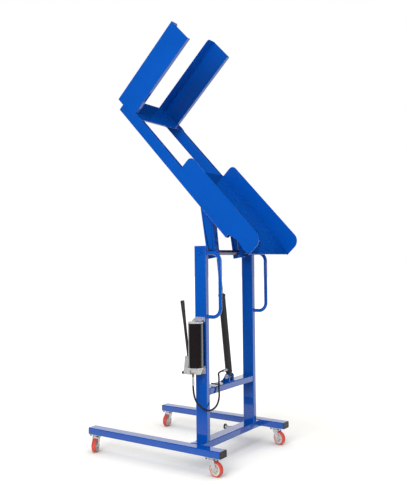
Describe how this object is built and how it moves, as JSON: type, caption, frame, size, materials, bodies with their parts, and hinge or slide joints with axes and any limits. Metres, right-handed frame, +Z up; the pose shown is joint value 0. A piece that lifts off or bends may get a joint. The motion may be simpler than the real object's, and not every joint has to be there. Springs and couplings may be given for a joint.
{
  "type": "wheelie bin tipper",
  "caption": "Hand-pumped hydraulic wheelie bin tipper: a tube stand on swivel castors with a pivoting cradle that lifts a bin, turns it over and pours it down a chute.",
  "frame": {"origin": "on the floor, straight below the middle of the pivot shaft, half-way between the uprights", "axes": "+X towards the pouring side, +Y across the machine away from the pump, +Z up; the cradle is stored tipped, as in the picture"},
  "size_m": [1.337, 0.9815, 3.0858],
  "materials": {
    "blue_paint": "glossy powder coat",
    "zinc_plate": "bright zinc plate",
    "bright_steel": "ground steel",
    "chrome_rod": "polished",
    "bush_bronze": "machined",
    "black_paint": "semi-gloss paint",
    "satin_black": "satin paint",
    "black_plastic": "moulded",
    "black_rubber": "matt",
    "hose_rubber": "satin",
    "cast_alloy": "machined casting",
    "brass_fitting": "machined",
    "dark_steel": "black oxide",
    "pale_plastic": "moulded",
    "red_tyre": "satin polyurethane"
  },
  "bodies": {
    "stand": {"base_leg_near": "blue_paint", "base_leg_far": "blue_paint", "leg_end_plugs": "black_plastic", "base_cross_beam": "blue_paint", "upright_near": "blue_paint", "upright_far": "blue_paint", "mid_cross_beam": "blue_paint", "shaft_bushes": "bush_bronze", "ram_foot_bracket": "blue_paint", "ram_foot_pin": "zinc_plate", "buffer_fittings": "blue_paint", "rubber_buffers": "black_rubber", "push_handle_near": "blue_paint", "push_handle_far": "blue_paint", "pump_bracket": "zinc_plate", "pump_block": "cast_alloy", "pump_tank": "black_paint", "pump_tank_cap": "cast_alloy", "pump_hose_fitting": "brass_fitting", "pump_hose_ferrule": "zinc_plate", "hydraulic_hose": "hose_rubber", "hose_tie": "black_plastic", "castor_plates": "zinc_plate", "castor_nuts": "dark_steel"},
    "cradle": {"pivot_shaft": "bright_steel", "shaft_end_bolts": "blue_paint", "cradle_arm_near": "blue_paint", "cradle_arm_far": "blue_paint", "cradle_rail_near": "blue_paint", "cradle_rail_far": "blue_paint", "cradle_cross_tubes": "blue_paint", "tray_channel_near": "blue_paint", "tray_channel_far": "blue_paint", "tray_back_plate": "blue_paint", "chute_side_near": "blue_paint", "chute_side_far": "blue_paint", "chute_floor": "blue_paint", "ram_lug": "blue_paint", "ram_lug_pins": "zinc_plate"},
    "ram_barrel": {"ram_cylinder": "satin_black", "ram_gland": "satin_black", "ram_port_fitting": "zinc_plate"},
    "ram_piston_rod": {"ram_rod": "chrome_rod", "ram_rod_eye": "zinc_plate"},
    "lever": {"lever_socket": "zinc_plate", "pump_lever": "satin_black"},
    "plunger": {"pump_plunger": "bright_steel"},
    "release_valve": {"pump_release_knob": "black_plastic"},
    "castor_front_near": {"castor_fork_front_near": "zinc_plate"},
    "wheel_front_near": {"castor_wheel_front_near": "pale_plastic", "castor_tyre_front_near": "red_tyre"},
    "castor_front_far": {"castor_fork_front_far": "zinc_plate"},
    "wheel_front_far": {"castor_wheel_front_far": "pale_plastic", "castor_tyre_front_far": "red_tyre"},
    "castor_back_near": {"castor_fork_back_near": "zinc_plate"},
    "wheel_back_near": {"castor_wheel_back_near": "pale_plastic", "castor_tyre_back_near": "red_tyre"},
    "castor_back_far": {"castor_fork_back_far": "zinc_plate"},
    "wheel_back_far": {"castor_wheel_back_far": "pale_plastic", "castor_tyre_back_far": "red_tyre"}
  },
  "joints": [
    {"name": "cradle_tip", "type": "hinge", "parent": "stand", "child": "cradle", "pos_m": [0, 0, 1.441], "axis": [0, -1, 0], "range_deg": [0, 139]},
    {"name": "ram_swing", "type": "hinge", "parent": "stand", "child": "ram_barrel", "pos_m": [0.014, 0, 0.561], "axis": [0, -1, 0], "range_deg": [0, 2.11]},
    {"name": "ram_stroke", "type": "slide", "parent": "ram_barrel", "child": "ram_piston_rod", "axis": [-0.0974, 0, 0.9952], "range_m": [-0.44729, 0]},
    {"name": "lever_swing", "type": "hinge", "parent": "stand", "child": "lever", "pos_m": [-0.08, -0.38, 0.653], "axis": [0, -1, 0], "range_deg": [0, 60]},
    {"name": "plunger_stroke", "type": "slide", "parent": "stand", "child": "plunger", "axis": [-1, 0, 0], "range_m": [0, 0.01005]},
    {"name": "release_turn", "type": "hinge", "parent": "stand", "child": "release_valve", "pos_m": [-0.098, -0.38, 0.632], "axis": [-1, 0, 0], "range_deg": [0, 180]},
    {"name": "swivel_front_near", "type": "hinge", "parent": "stand", "child": "castor_front_near", "pos_m": [0.155, -0.433, 0.106], "axis": [0, 0, 1], "continuous": true},
    {"name": "roll_front_near", "type": "hinge", "parent": "castor_front_near", "child": "wheel_front_near", "pos_m": [0.18484, -0.43614, 0.048], "axis": [0.1045, 0.9945, 0], "continuous": true},
    {"name": "swivel_front_far", "type": "hinge", "parent": "stand", "child": "castor_front_far", "pos_m": [0.155, 0.433, 0.106], "axis": [0, 0, 1], "continuous": true},
    {"name": "roll_front_far", "type": "hinge", "parent": "castor_front_far", "child": "wheel_front_far", "pos_m": [0.18398, 0.42523, 0.048], "axis": [0.2588, 0.9659, 0], "continuous": true},
    {"name": "swivel_back_near", "type": "hinge", "parent": "stand", "child": "castor_back_near", "pos_m": [-0.868, -0.433, 0.106], "axis": [0, 0, 1], "continuous": true},
    {"name": "roll_back_near", "type": "hinge", "parent": "castor_back_near", "child": "wheel_back_near", "pos_m": [-0.85532, -0.46019, 0.048], "axis": [0.9063, 0.4226, 0], "continuous": true},
    {"name": "swivel_back_far", "type": "hinge", "parent": "stand", "child": "castor_back_far", "pos_m": [-0.868, 0.433, 0.106], "axis": [0, 0, 1], "continuous": true},
    {"name": "roll_back_far", "type": "hinge", "parent": "castor_back_far", "child": "wheel_back_far", "pos_m": [-0.86434, 0.40322, 0.048], "axis": [0.9925, 0.1219, 0], "continuous": true}
  ],
  "couplings": [
    {"joint": "ram_swing", "follows": "cradle_tip", "ratio": 0.014815},
    {"joint": "ram_stroke", "follows": "cradle_tip", "m_per_rad": -0.18417},
    {"joint": "plunger_stroke", "follows": "lever_swing", "m_per_rad": 0.0095493}
  ]
}
